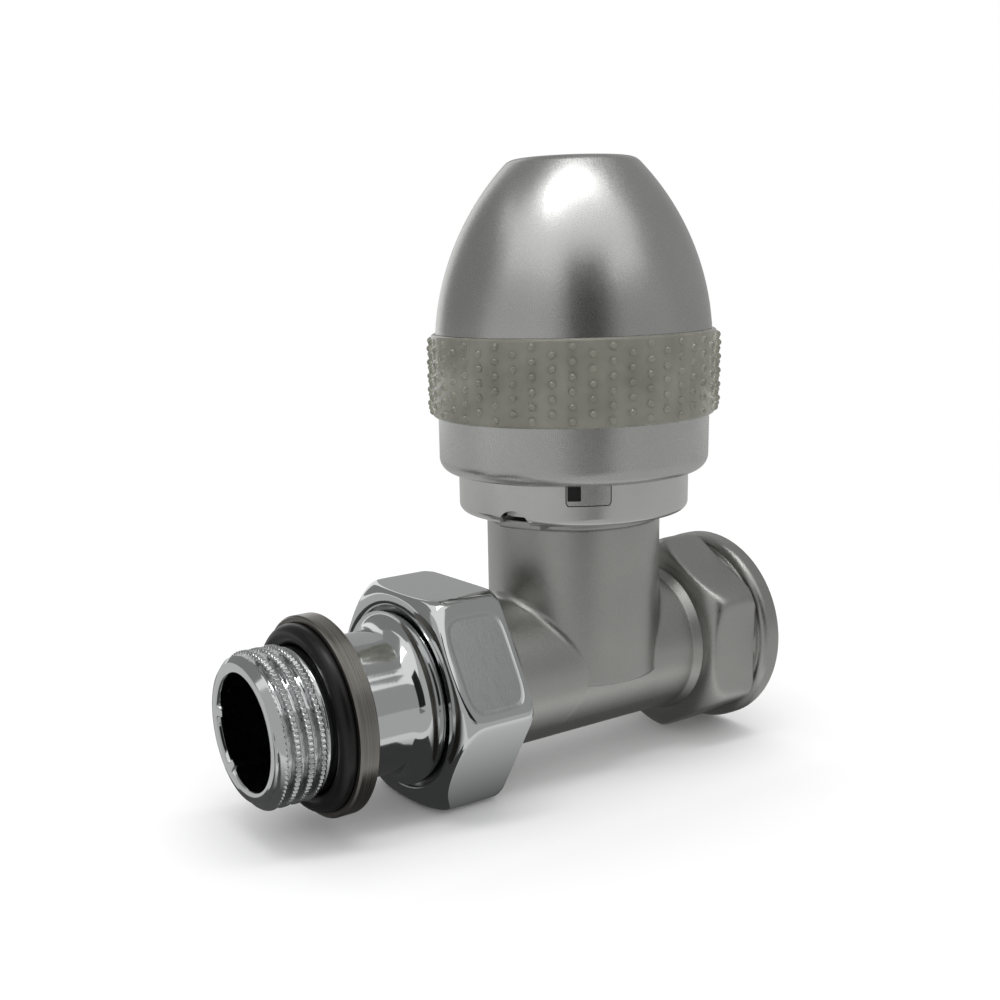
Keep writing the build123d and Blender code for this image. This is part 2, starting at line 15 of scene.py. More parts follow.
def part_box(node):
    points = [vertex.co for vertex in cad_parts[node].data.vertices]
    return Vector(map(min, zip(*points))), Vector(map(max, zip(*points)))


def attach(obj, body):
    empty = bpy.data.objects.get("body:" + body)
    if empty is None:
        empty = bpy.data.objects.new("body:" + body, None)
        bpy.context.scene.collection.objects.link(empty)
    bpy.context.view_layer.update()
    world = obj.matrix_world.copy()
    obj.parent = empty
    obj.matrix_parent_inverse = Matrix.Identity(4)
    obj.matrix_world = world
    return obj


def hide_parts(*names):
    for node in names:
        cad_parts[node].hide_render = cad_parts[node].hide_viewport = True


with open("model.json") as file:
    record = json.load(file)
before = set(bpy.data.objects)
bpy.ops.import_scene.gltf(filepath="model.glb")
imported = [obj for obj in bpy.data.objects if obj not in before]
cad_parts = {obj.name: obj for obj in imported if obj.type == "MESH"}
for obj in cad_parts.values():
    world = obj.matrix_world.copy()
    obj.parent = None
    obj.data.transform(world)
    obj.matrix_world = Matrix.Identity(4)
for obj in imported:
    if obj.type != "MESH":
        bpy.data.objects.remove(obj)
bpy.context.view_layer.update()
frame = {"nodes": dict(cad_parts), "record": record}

MM = 0.001
TURN = 2 * np.pi

# Main places, taken from the frame where a CAD node gives them
PORT_REACH = 28.5 * MM
STEM_X = -PORT_REACH
FLOOR_Z = min(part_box("valve_body")[0].z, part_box("union_nut")[0].z)
BAND_LOW, BAND_HIGH = (corner.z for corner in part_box("grip_band"))
TAIL_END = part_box("tailpiece")[0].x - STEM_X
TAIL_INNER_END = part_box("tailpiece")[1].x - STEM_X
NUT_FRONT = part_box("union_nut")[0].x - STEM_X
NUT_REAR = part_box("union_nut")[1].x - STEM_X

# Casting, whose port thread and edge rounding are shading
PORT_BORE, PORT_DEPTH = 9.3 * MM, 11.9 * MM
PORT_THREAD_DEPTH = 1.1 * MM
EDGE_ROUND = 0.5 * MM

# Grip band
BAND_INNER_RADIUS = 18.33 * MM
BAND_RADIUS = 20.0 * MM
BAND_EDGE = 0.5 * MM
PIMPLE_COLUMNS = 48
PIMPLE_ROWS = 6
PIMPLE_PITCH = 1.9 * MM
PIMPLE_RADIUS = 0.54 * MM
PIMPLE_PHASE = 5.6
PIMPLE_HEIGHT = 0.64 * MM

# Union nut
NUT_APOTHEM = 14.75 * MM
NUT_CORNER_SOFTNESS = 0.32 * MM
NUT_CROWN_SOFTNESS = 0.22 * MM
NUT_HOLE_RADIUS = 12.6 * MM
NUT_BORE_RADIUS = 13.06 * MM
NUT_CROWN_RADIUS = 13.3 * MM
NUT_CROWN_REACH = 17.4 * MM
NUT_CROWN_DEPTH = 4.6 * MM
NUT_LIP = 1.1 * MM
NUT_EDGE = 0.3 * MM
NUT_REAR_BEVEL = 0.9 * MM
NUT_REAR_RADIUS = 16.5 * MM
NUT_GROOVE_RADIUS = 13.5 * MM
NUT_GROOVE_WIDTH = 1.08 * MM

# Worn panel on the nut's flat towards the camera, with the flat's angle round the pipe in degrees
WORN_FLAT = 150
PANEL_HALF_LENGTH, PANEL_HALF_HEIGHT = 4.3 * MM, 6.5 * MM
PANEL_ALONG, PANEL_UP = 0.35 * MM, 0.6 * MM
PANEL_FROM, PANEL_TO = 14.2 * MM, 14.5 * MM

# Port hexagon
HEX_START, HEX_END = 15.6 * MM, 24.32 * MM
HEX_APOTHEM = 13.53 * MM
HEX_CORNER_SOFTNESS = 0.45 * MM
HEX_CROWN_SOFTNESS = 0.3 * MM
HEX_FOOT_RADIUS = 11.0 * MM
HEX_CROWN_REACH = 16.6 * MM
HEX_CROWN_DEPTH = 6.9 * MM
HEX_REAR_RADIUS = 14.85 * MM
HEX_HOLE_RADIUS, HEX_HOLE_REAR_RADIUS = 10.6 * MM, 13.0 * MM
HEX_HOLE_LENGTH = 1.4 * MM

# Tailpiece
THREAD_PITCH = 1.814 * MM
THREAD_MAJOR = 10.48 * MM
THREAD_DEPTH = 1.15 * MM
THREAD_START = -47.1 * MM
THREAD_LEAD = 1.3 * MM
THREAD_RUN_OUT = 0.9 * MM
THREAD_SOFTNESS = 0.04 * MM
SERRATIONS = 84
SERRATION_DEPTH = 0.28 * MM
TAIL_RADIUS = 9.9 * MM
TAIL_BORE = 7.8 * MM
TAIL_MOUTH_EDGE = 0.25 * MM
FLANGE_RADIUS = 12.1 * MM
FLANGE_FRONT = -32.2 * MM
FLANGE_RIM = 0.3 * MM
FLARE_LENGTH = 2.6 * MM
FLANGE_REAR = -27.75 * MM
SPIGOT_RADIUS = 7.42 * MM
SPIGOT_BORE = 5.8 * MM
LUG_ANGLES = (6, -52)
LUG_HEIGHT = 1.2 * MM
LUG_HALF_ANGLE = 5.5
LUG_LENGTH = 6.0 * MM
LUG_RAMP = 0.5 * MM

# Bare label on the collar
COLLAR_RADIUS = 16.45 * MM
LABEL_AZIMUTH = -122.0
LABEL_WIDTH = 6.2 * MM
LABEL_LOW, LABEL_HIGH = 25.5 * MM, 28.7 * MM
LABEL_CORNER = 0.5 * MM
LABEL_BORDER = 0.14 * MM
BORDER_LIFT, FACE_LIFT, BLOCK_LIFT = 0.05 * MM, 0.08 * MM, 0.11 * MM
BLOCK_WIDTH, BLOCK_RISE = 1.8 * MM, 0.75 * MM
BLOCK_CORNER = 0.1 * MM
BLOCK_SHIFT = -1.95 * MM

# Finishes
CHROME = (0.62, 0.63, 0.63)
WORN_CHROME = (0.46, 0.47, 0.47)

# Camera, solved from the circles of the photograph
CAMERA_PLACE = Vector((STEM_X / MM - 119.07, -145.0, 57.55)) * MM
CAMERA_RIGHT = Vector((0.8280, -0.5600, -0.0275))
CAMERA_UP = Vector((0.1620, 0.1920, 0.9679))
FOCAL_PIXELS = 1299.5
CENTRE_X_PIXELS, CENTRE_Y_PIXELS = 447.0, 597.1
PICTURE_PIXELS = 1000
SENSOR_WIDTH = 36.0
PART_MIDDLE = Vector((STEM_X, 0, 0.02))


# Meshes

def build_mesh(name, points, faces, sharp_degrees=35):
    """A mesh object from an array of points and an array or list of faces, smooth but for its sharp edges."""
    mesh = bpy.data.meshes.new(name)
    mesh.from_pydata(points.reshape(-1, 3).tolist(), [], faces if isinstance(faces, list) else faces.tolist())
    mesh.polygons.foreach_set("use_smooth", np.ones(len(mesh.polygons), bool))
    mesh.set_sharp_from_angle(angle=np.radians(sharp_degrees))
    mesh.update()
    piece = bpy.data.objects.new(name, mesh)
    bpy.context.scene.collection.objects.link(piece)
    return piece


def grid_faces(rows, columns, wrap_rows=False, wrap_columns=True):
    """The quads of a grid of rows by columns, each joining point (i, j) to its next row and next column."""
    row = np.arange(rows if wrap_rows else rows - 1)[:, None]
    column = np.arange(columns if wrap_columns else columns - 1)[None, :]
    next_row, next_column = (row + 1) % rows, (column + 1) % columns
    corners = [row * columns + column, row * columns + next_column]
    corners += [next_row * columns + next_column, next_row * columns + column]
    return np.stack([c + np.zeros_like(corners[0]) for c in corners], -1).reshape(-1, 4)


def round_pipe(along, radius, angle):
    """Points round the pipe axis: x is STEM_X + along, y is radius cos angle, z is radius sin angle."""
    return np.stack(np.broadcast_arrays(STEM_X + along, radius * np.cos(angle), radius * np.sin(angle)), -1)


def round_stem(height, radius, angle):
    """Points round the stem axis: x is STEM_X + radius cos angle, y is radius sin angle, z is the height."""
    return np.stack(np.broadcast_arrays(STEM_X + radius * np.cos(angle), radius * np.sin(angle), height), -1)


def soft_min(a, b, softness):
    """The lesser of a and b, rounded where they meet: -k log(exp(-a/k) + exp(-b/k)), with k the softness."""
    low = np.minimum(a, b)
    return low - softness * np.log(np.exp((low - a) / softness) + np.exp((low - b) / softness))


def smooth_step(value, low, high):
    """0 below low, 1 above high, and 3t^2 - 2t^3 between them, with t the share of the way."""
    t = np.clip((value - low) / (high - low), 0, 1)
    return t * t * (3 - 2 * t)


def legs(corners, spacing):
    """A polyline's points, with each straight leg cut into equal steps no longer than spacing."""
    corners = np.asarray(corners, float)
    steps = np.maximum(1, np.ceil(np.linalg.norm(np.diff(corners, axis=0), axis=1) / spacing).astype(int))
    parts = [a + (b - a) * (np.arange(n) / n)[:, None] for a, b, n in zip(corners[:-1], corners[1:], steps)]
    return np.concatenate(parts + [corners[-1:]])


def six_flats(angle, apothem, first_middle, softness):
    """How far out six flats lie at each angle round the pipe.

    A flat's radius is the apothem over the cosine of the angle from its middle, and the whole is the
    soft lesser of the six.
    """
    flats = np.full(len(angle), 1.0)
    for middle in np.radians(first_middle + np.arange(0, 360, 60)):
        facing = np.cos(angle - middle)
        flat = np.where(facing > 0.3, apothem / np.maximum(facing, 0.3), 1.0)
        flats = soft_min(flats, flat, softness)
    return flats


def make_tailpiece():
    """The tailpiece as a closed loop of (along, radius) carried round the pipe axis.

    On the threaded length the radius is the root plus the depth times a rounded tooth. The tooth follows
    the phase along / pitch - angle / turn, so its crest is a right-handed helix. The crest is notched by
    a cosine of the angle, and the whole thread is cut by the lead cone and runs out at its inner end.
    In the bore, two lugs stand in from the wall within their angles.
    """
    mouth_in, mouth_out = TAIL_BORE + TAIL_MOUTH_EDGE, THREAD_MAJOR - THREAD_LEAD
    outside = legs([(TAIL_END, mouth_in), (TAIL_END, mouth_out)], 0.4 * MM)[:-1]
    thread_along = np.linspace(TAIL_END, THREAD_START, 96)
    lead = mouth_out + (thread_along - TAIL_END)
    thread = np.stack([thread_along, np.minimum(lead, THREAD_MAJOR)], 1)
    flare_t = np.linspace(0, 1, 9)[1:]
    flare_start = FLANGE_FRONT - FLARE_LENGTH
    flare = np.stack([
        flare_start + FLARE_LENGTH * np.sin(flare_t * np.pi / 2),
        TAIL_RADIUS + (FLANGE_RADIUS - TAIL_RADIUS) * (1 - np.cos(flare_t * np.pi / 2)),
    ], 1)
    tube = legs([(THREAD_START + 0.1 * MM, TAIL_RADIUS), (flare_start, TAIL_RADIUS)], 1.5 * MM)
    bore_end = FLANGE_REAR - (TAIL_BORE - SPIGOT_BORE)
    back = legs([
        (FLANGE_FRONT + FLANGE_RIM, FLANGE_RADIUS), (FLANGE_REAR, FLANGE_RADIUS),
        (FLANGE_REAR, SPIGOT_RADIUS), (TAIL_INNER_END, SPIGOT_RADIUS), (TAIL_INNER_END, SPIGOT_BORE),
        (FLANGE_REAR, SPIGOT_BORE), (bore_end, TAIL_BORE),
    ], 3 * MM)
    bore_along = np.linspace(bore_end, TAIL_END + TAIL_MOUTH_EDGE, 40)[1:]
    bore = np.stack([bore_along, np.full(len(bore_along), TAIL_BORE)], 1)
    profile = np.concatenate([outside, thread, tube, flare, back, bore])
    angle = np.arange(5 * SERRATIONS) / (5 * SERRATIONS) * TURN
    along, radius = profile[:, :1], profile[:, 1:] + np.zeros(len(angle))
    first, last = len(outside), len(outside) + len(thread)
    s = along[first:last]
    phase = (s - TAIL_END) / THREAD_PITCH - angle / TURN
    tooth = smooth_step(np.cos(TURN * phase), -0.55, 0.55)
    notch = SERRATION_DEPTH * (0.5 + 0.5 * np.cos(SERRATIONS * angle)) * smooth_step(tooth, 0.7, 1.0)
    run_out = smooth_step(s, THREAD_START - THREAD_RUN_OUT, THREAD_START)
    threaded = THREAD_MAJOR - THREAD_DEPTH * (1 - tooth) - notch
    threaded = threaded * (1 - run_out) + TAIL_RADIUS * run_out
    radius[first:last] = soft_min(threaded, radius[first:last], THREAD_SOFTNESS)
    lug_rows = slice(len(profile) - len(bore), len(profile))
    inward = smooth_step(TAIL_END + LUG_LENGTH - profile[lug_rows, :1], 0, LUG_RAMP)
    for lug in LUG_ANGLES:
        off = np.abs((np.degrees(angle) - lug + 180) % 360 - 180)
        radius[lug_rows] -= LUG_HEIGHT * inward * (1 - smooth_step(off, 0.6 * LUG_HALF_ANGLE, LUG_HALF_ANGLE))
    points = round_pipe(along, radius, angle)
    return build_mesh("tail_threaded", points, grid_faces(*points.shape[:2], wrap_rows=True)[:, ::-1], 50)


def make_union_nut():
    """The nut as a closed loop of (along, radius) round the pipe axis, cut by six flats.

    With t from 0 to a quarter turn, the crown's along is its depth times (1 - cos t)^1.05 and its radius
    rises with (sin t)^0.9. The outside is the soft lesser of the flats and the loop, so that the edges
    and the crown are rounded.
    """
    crown_t = np.linspace(0, 1, 26) * np.pi / 2
    crown = np.stack([
        NUT_FRONT + NUT_CROWN_DEPTH * (1 - np.cos(crown_t)) ** 1.05,
        NUT_CROWN_RADIUS + (NUT_CROWN_REACH - NUT_CROWN_RADIUS) * np.sin(crown_t) ** 0.9,
    ], 1)
    edge = NUT_EDGE
    lip_back = NUT_FRONT + NUT_LIP
    groove_back = lip_back + NUT_GROOVE_WIDTH
    profile = np.concatenate([
        legs([
            (NUT_FRONT + edge, NUT_HOLE_RADIUS), (NUT_FRONT + 0.3 * edge, NUT_HOLE_RADIUS + 0.3 * edge),
            (NUT_FRONT, NUT_HOLE_RADIUS + edge),
        ], 1 * MM),
        crown,
        legs([
            (NUT_FRONT + NUT_CROWN_DEPTH + edge, NUT_CROWN_REACH),
            (NUT_REAR - NUT_REAR_BEVEL, NUT_CROWN_REACH), (NUT_REAR, NUT_REAR_RADIUS),
            (NUT_REAR, NUT_BORE_RADIUS + edge), (NUT_REAR - edge, NUT_BORE_RADIUS),
            (groove_back, NUT_BORE_RADIUS), (groove_back, NUT_GROOVE_RADIUS),
            (lip_back, NUT_GROOVE_RADIUS), (lip_back, NUT_HOLE_RADIUS),
        ], 0.5 * MM),
    ])
    angle = np.arange(432) / 432 * TURN
    flats = six_flats(angle, NUT_APOTHEM, 30, NUT_CORNER_SOFTNESS)
    radius = soft_min(profile[:, 1:] + np.zeros(len(angle)), flats, NUT_CROWN_SOFTNESS)
    inner = profile[:, 1] < NUT_GROOVE_RADIUS + 0.1 * MM
    radius[inner] = profile[inner, 1:]
    points = round_pipe(profile[:, :1], radius, angle)
    return build_mesh("union_nut_crowned", points, grid_faces(*points.shape[:2], wrap_rows=True)[:, ::-1], 60)


def make_port_hexagon():
    """The port's hexagon as a closed loop of (along, radius) round the pipe axis, cut by six flats.

    With t from 0 to a quarter turn, the crown's along is its depth times 1 - cos t and its radius rises
    with (sin t)^0.9. The outside is the soft lesser of the flats and the loop. It lies over the
    casting's own hexagon.
    """
    crown_t = np.linspace(0, 1, 30) * np.pi / 2
    crown = np.stack([
        HEX_START + HEX_CROWN_DEPTH * (1 - np.cos(crown_t)),
        HEX_FOOT_RADIUS + (HEX_CROWN_REACH - HEX_FOOT_RADIUS) * np.sin(crown_t) ** 0.9,
    ], 1)
    bevel = HEX_CROWN_REACH - HEX_REAR_RADIUS
    profile = np.concatenate([crown, legs([
        (HEX_END - bevel, HEX_CROWN_REACH), (HEX_END, HEX_REAR_RADIUS), (HEX_END, HEX_HOLE_REAR_RADIUS),
        (HEX_START + HEX_HOLE_LENGTH, HEX_HOLE_RADIUS), (HEX_START, HEX_HOLE_RADIUS),
    ], 0.6 * MM)])
    angle = np.arange(432) / 432 * TURN
    flats = six_flats(angle, HEX_APOTHEM, 0, HEX_CORNER_SOFTNESS)
    radius = soft_min(profile[:, 1:] + np.zeros(len(angle)), flats, HEX_CROWN_SOFTNESS)
    points = round_pipe(profile[:, :1], radius, angle)
    return build_mesh("port_hexagon", points, grid_faces(*points.shape[:2], wrap_rows=True)[:, ::-1], 60)


def make_grip_band():
    """The sleeve as a rounded loop of (radius, height) carried round the stem."""
    half_thick, half_high = (BAND_RADIUS - BAND_INNER_RADIUS) / 2, (BAND_HIGH - BAND_LOW) / 2
    corner = np.linspace(0, np.pi / 2, 6)
    loop = []
    for quarter, (side_r, side_z) in enumerate(((1, 1), (-1, 1), (-1, -1), (1, -1))):
        turn = corner + quarter * np.pi / 2
        loop.append(np.stack([
            side_r * (half_thick - BAND_EDGE) + BAND_EDGE * np.cos(turn),
            side_z * (half_high - BAND_EDGE) + BAND_EDGE * np.sin(turn),
        ], 1))
    loop = np.concatenate(loop)
    angle = np.arange(240) / 240 * TURN
    middle = (BAND_LOW + BAND_HIGH) / 2
    sleeve = round_stem(middle + loop[:, 1:], (BAND_RADIUS + BAND_INNER_RADIUS) / 2 + loop[:, :1], angle)
    return build_mesh("grip_sleeve", sleeve, grid_faces(*sleeve.shape[:2], wrap_rows=True), 50)


def make_pimples():
    """A half-ellipsoid at each pimple's place on the sleeve, with its foot closed inside the sleeve.

    Columns alternate between six and five pimples. With a the angle round a pimple and t the angle up
    its side, its points lie its radius times cos t cos a round the band, cos t sin a up the stem, and
    its height times sin t out from the band.
    """
    column = np.repeat(np.arange(PIMPLE_COLUMNS), PIMPLE_ROWS)
    row = np.tile(np.arange(PIMPLE_ROWS), PIMPLE_COLUMNS)
    kept = row < PIMPLE_ROWS - column % 2
    column, row = column[kept], row[kept]
    count = PIMPLE_ROWS - column % 2
    azimuth = TURN * column / PIMPLE_COLUMNS + np.radians(PIMPLE_PHASE)
    height = (BAND_LOW + BAND_HIGH) / 2 + (row - (count - 1) / 2) * PIMPLE_PITCH
    rise, around = np.linspace(-0.35, np.pi / 2 * 0.94, 8), np.arange(16) / 16 * TURN
    circle = np.stack([np.cos(around), np.sin(around)])[:, None, :]
    flat = PIMPLE_RADIUS * np.cos(np.maximum(rise, 0))[:, None] * circle
    out = BAND_RADIUS + PIMPLE_HEIGHT * np.sin(rise)
    sideways = flat[0][None] / out[None, :, None]
    domes = round_stem(
        height[:, None, None] + flat[1][None],
        out[None, :, None] + 0 * flat[0][None],
        azimuth[:, None, None] + sideways,
    )
    ring = grid_faces(len(rise), len(around))
    cap = np.arange(len(around)) + (len(rise) - 1) * len(around)
    foot = np.arange(len(around))[::-1]
    starts = np.arange(len(azimuth)) * len(rise) * len(around)
    faces = (ring[None] + starts[:, None, None]).reshape(-1, 4).tolist()
    faces += (cap[None] + starts[:, None]).tolist() + (foot[None] + starts[:, None]).tolist()
    return build_mesh("grip_pimples", domes, faces, 50)


def make_patch(name, width, low, high, radius, corner, shift=0.0):
    """A thin plate bent round the collar, with its two lower corners rounded.

    Its points are (u, v) over the plate's width and height. The lower edge is drawn in by
    corner - sqrt(corner^2 - d^2) where u is within a corner of the side, by the distance d.
    """
    u, v = np.linspace(-width / 2, width / 2, 33), np.linspace(0, 1, 9)
    into = np.clip(np.abs(u) - (width / 2 - corner), 0, corner)
    bottom = low + corner - np.sqrt(corner**2 - into**2 + 1e-12)
    height = bottom[None, :] + v[:, None] * (high - bottom)[None, :]
    angle = np.radians(LABEL_AZIMUTH) + (u + shift)[None, :] / radius
    points = round_stem(height, np.full_like(height, radius), angle + 0 * height)
    return build_mesh(name, points, grid_faces(*height.shape, wrap_columns=False))


# Node groups and materials

def group_with(name, inputs, outputs):
    """An empty shader node group with float or vector sockets, its inputs given as name: default."""
    group = bpy.data.node_groups.new(name, "ShaderNodeTree")
    for socket, default in inputs.items():
        kind = "NodeSocketVector" if default is None else "NodeSocketFloat"
        made = group.interface.new_socket(socket, in_out="INPUT", socket_type=kind)
        if default is not None:
            made.default_value = default
    for socket in outputs:
        group.interface.new_socket(socket, in_out="OUTPUT", socket_type="NodeSocketFloat")
    return group, group.nodes.new("NodeGroupInput"), group.nodes.new("NodeGroupOutput")


def math_node(nodes, links, operation, first, second=None):
    """A Math node of this operation, whose inputs are sockets or numbers; returns its output."""
    node = nodes.new("ShaderNodeMath")
    node.operation = operation
    for index, value in enumerate((first, second)):
        if value is None:
            continue
        if isinstance(value, (int, float)):
            node.inputs[index].default_value = value
        else:
            links.new(value, node.inputs[index])
    return node.outputs[0]


def noise_node(nodes, links, vector, scale, detail):
    """A noise value in 0 to 1 at this many bumps a metre; vector and scale are sockets or scale a number."""
    node = nodes.new("ShaderNodeTexNoise")
    node.inputs["Detail"].default_value = detail
    links.new(vector, node.inputs["Vector"])
    if isinstance(scale, (int, float)):
        node.inputs["Scale"].default_value = scale
    else:
        links.new(scale, node.inputs["Scale"])
    return node.outputs["Fac"]


def range_node(nodes, links, value, low, high, out_low, out_high):
    """Maps a value from low..high to out_low..out_high, held at both ends."""
    node = nodes.new("ShaderNodeMapRange")
    links.new(value, node.inputs["Value"])
    for socket, number in zip(("From Min", "From Max", "To Min", "To Max"), (low, high, out_low, out_high)):
        node.inputs[socket].default_value = number
    return node.outputs["Result"]


def pipe_radius(nodes, links, y, z):
    """The distance from the pipe axis, the root of y^2 + z^2."""
    squares = [math_node(nodes, links, "MULTIPLY", y, y), math_node(nodes, links, "MULTIPLY", z, z)]
    return math_node(nodes, links, "SQRT", math_node(nodes, links, "ADD", *squares))


def reach_toward(nodes, links, y, z, degrees):
    """How far a place lies from the pipe axis toward this angle round it: y cos + z sin."""
    angle = np.radians(degrees)
    y_part = math_node(nodes, links, "MULTIPLY", y, float(np.cos(angle)))
    z_part = math_node(nodes, links, "MULTIPLY", z, float(np.sin(angle)))
    return math_node(nodes, links, "ADD", y_part, z_part)


def make_grain_group():
    """Blasted grain: Height is fine noise, Cloud is broad soft noise, both 0 to 1."""
    group, start, end = group_with(
        "blasted grain", {"Vector": None, "Grains": 9000.0, "Clouds": 60.0}, ("Height", "Cloud")
    )
    nodes, links = group.nodes, group.links
    grains = noise_node(nodes, links, start.outputs["Vector"], start.outputs["Grains"], 0.5)
    links.new(grains, end.inputs["Height"])
    clouds = noise_node(nodes, links, start.outputs["Vector"], start.outputs["Clouds"], 4.0)
    links.new(clouds, end.inputs["Cloud"])
    return group


def make_lathe_group():
    """Turning marks round the X axis: noise of (X, distance from X) stretched so that it hardly turns."""
    group, start, end = group_with(
        "turning marks", {"Vector": None, "Lines": 9000.0, "Drift": 40.0}, ("Marks",)
    )
    nodes, links = group.nodes, group.links
    apart = nodes.new("ShaderNodeSeparateXYZ")
    links.new(start.outputs["Vector"], apart.inputs[0])
    x, y, z = apart.outputs
    radius = pipe_radius(nodes, links, y, z)
    joined = nodes.new("ShaderNodeCombineXYZ")
    for index, (value, factor) in enumerate(((x, "Lines"), (radius, "Lines"), (y, "Drift"))):
        links.new(math_node(nodes, links, "MULTIPLY", value, start.outputs[factor]), joined.inputs[index])
    links.new(noise_node(nodes, links, joined.outputs[0], 1.0, 3.0), end.inputs["Marks"])
    return group


def make_panel_group():
    """Mask of a rounded panel: 1 inside half sizes Half U and Half V, falling to 0 over Soft outside."""
    group, start, end = group_with(
        "rounded panel", {"U": 0.0, "V": 0.0, "Half U": 1.0, "Half V": 1.0, "Soft": 0.1}, ("Mask",)
    )
    nodes, links = group.nodes, group.links
    squares = []
    for axis in ("U", "V"):
        off = math_node(nodes, links, "ABSOLUTE", start.outputs[axis])
        share = math_node(nodes, links, "DIVIDE", off, start.outputs["Half " + axis])
        squares.append(math_node(nodes, links, "POWER", share, 5.0))
    whole = math_node(nodes, links, "POWER", math_node(nodes, links, "ADD", *squares), 0.2)
    beyond = math_node(nodes, links, "SUBTRACT", whole, 1.0)
    over = math_node(nodes, links, "DIVIDE", beyond, start.outputs["Soft"])
    links.new(range_node(nodes, links, over, -0.5, 0.5, 1.0, 0.0), end.inputs["Mask"])
    return group


def make_thread_group():
    """The port's thread as shading.

    Height is a triangle wave of x / pitch - angle / turn on the bore's wall, and 0 outside it.
    """
    group, start, end = group_with(
        "bore thread", {"Vector": None, "Pitch": 0.002, "Radius": 0.01, "Depth": 0.01}, ("Height",)
    )
    nodes, links = group.nodes, group.links
    apart = nodes.new("ShaderNodeSeparateXYZ")
    links.new(start.outputs["Vector"], apart.inputs[0])
    x, y, z = apart.outputs
    angle = math_node(nodes, links, "ARCTAN2", z, y)
    steps = math_node(nodes, links, "DIVIDE", x, start.outputs["Pitch"])
    phase = math_node(nodes, links, "SUBTRACT", steps, math_node(nodes, links, "DIVIDE", angle, float(TURN)))
    wave = math_node(nodes, links, "PINGPONG", phase, 0.5)
    radius = pipe_radius(nodes, links, y, z)
    off = math_node(nodes, links, "SUBTRACT", radius, start.outputs["Radius"])
    off = math_node(nodes, links, "ABSOLUTE", off)
    on_wall = math_node(nodes, links, "LESS_THAN", off, 0.1 * MM)
    depth = math_node(nodes, links, "MULTIPLY", x, -1.0)
    inside = math_node(nodes, links, "LESS_THAN", depth, start.outputs["Depth"])
    mask = math_node(nodes, links, "MULTIPLY", on_wall, inside)
    links.new(math_node(nodes, links, "MULTIPLY", wave, mask), end.inputs["Height"])
    return group


GRAIN, LATHE, PANEL, BORE = make_grain_group(), make_lathe_group(), make_panel_group(), make_thread_group()


def new_material(name, color, metallic, roughness):
    """A material of one Principled shader, returned with its nodes, links, shader and Object coordinates."""
    material = bpy.data.materials.new(name)
    material.use_nodes = True
    nodes, links = material.node_tree.nodes, material.node_tree.links
    shader = nodes["Principled BSDF"]
    shader.inputs["Base Color"].default_value = (*color, 1)
    shader.inputs["Metallic"].default_value = metallic
    shader.inputs["Roughness"].default_value = roughness
    place = nodes.new("ShaderNodeTexCoord").outputs["Object"]
    return material, nodes, links, shader, place


def place_group(nodes, links, group, place, **values):
    """The group in a material, fed with the place where it has a Vector, and with these values."""
    node = nodes.new("ShaderNodeGroup")
    node.node_tree = group
    if "Vector" in node.inputs:
        links.new(place, node.inputs["Vector"])
    for socket, value in values.items():
        node.inputs[socket.replace("_", " ")].default_value = value
    return node


def add_bump(nodes, links, shader, height, distance, under=None):
    """Feeds a height through a Bump node to the shader's normal, over another normal where one is given."""
    bump = nodes.new("ShaderNodeBump")
    bump.inputs["Distance"].default_value = distance
    links.new(height, bump.inputs["Height"])
    if under:
        links.new(under, bump.inputs["Normal"])
    links.new(bump.outputs["Normal"], shader.inputs["Normal"])
    return bump.outputs["Normal"]


def tint(nodes, links, shader, value, dark, light):
    """Base Color between two colours by a value from 0 to 1."""
    mix = nodes.new("ShaderNodeMix")
    mix.data_type = "RGBA"
    mix.inputs["A"].default_value = (*dark, 1)
    mix.inputs["B"].default_value = (*light, 1)
    links.new(value, mix.inputs["Factor"])
    links.new(mix.outputs["Result"], shader.inputs["Base Color"])


def satin_metal(name, dark, light, rough_low, rough_high, bump, casting=False):
    """Blasted and plated metal: fine bumps, and clouds that shift its tone and gloss a little.

    A casting also has its sharp edges shaded round and the thread of the port's bore.
    """
    material, nodes, links, shader, place = new_material(name, light, 1.0, rough_low)
    grain = place_group(nodes, links, GRAIN, place, Grains=9500.0, Clouds=70.0)
    tint(nodes, links, shader, range_node(nodes, links, grain.outputs["Cloud"], 0.3, 0.7, 0, 1), dark, light)
    rough = range_node(nodes, links, grain.outputs["Height"], 0.3, 0.7, rough_low, rough_high)
    links.new(rough, shader.inputs["Roughness"])
    under = None
    if casting:
        bevel = nodes.new("ShaderNodeBevel")
        bevel.samples = 6
        bevel.inputs["Radius"].default_value = EDGE_ROUND
        sizes = {"Pitch": THREAD_PITCH, "Radius": PORT_BORE, "Depth": PORT_DEPTH}
        wave = place_group(nodes, links, BORE, place, **sizes).outputs["Height"]
        under = add_bump(nodes, links, shader, wave, 2 * PORT_THREAD_DEPTH, bevel.outputs["Normal"])
    add_bump(nodes, links, shader, grain.outputs["Height"], bump, under)
    return material


def polished_metal(name, color, roughness):
    """Bright metal with faint turning marks and a little haze."""
    material, nodes, links, shader, place = new_material(name, color, 1.0, roughness)
    marks = place_group(nodes, links, LATHE, place, Lines=5000.0)
    haze = place_group(nodes, links, GRAIN, place, Clouds=120.0)
    rough = range_node(nodes, links, haze.outputs["Cloud"], 0.35, 0.75, roughness, roughness + 0.07)
    links.new(rough, shader.inputs["Roughness"])
    add_bump(nodes, links, shader, marks.outputs["Marks"], 0.0000015)
    return material


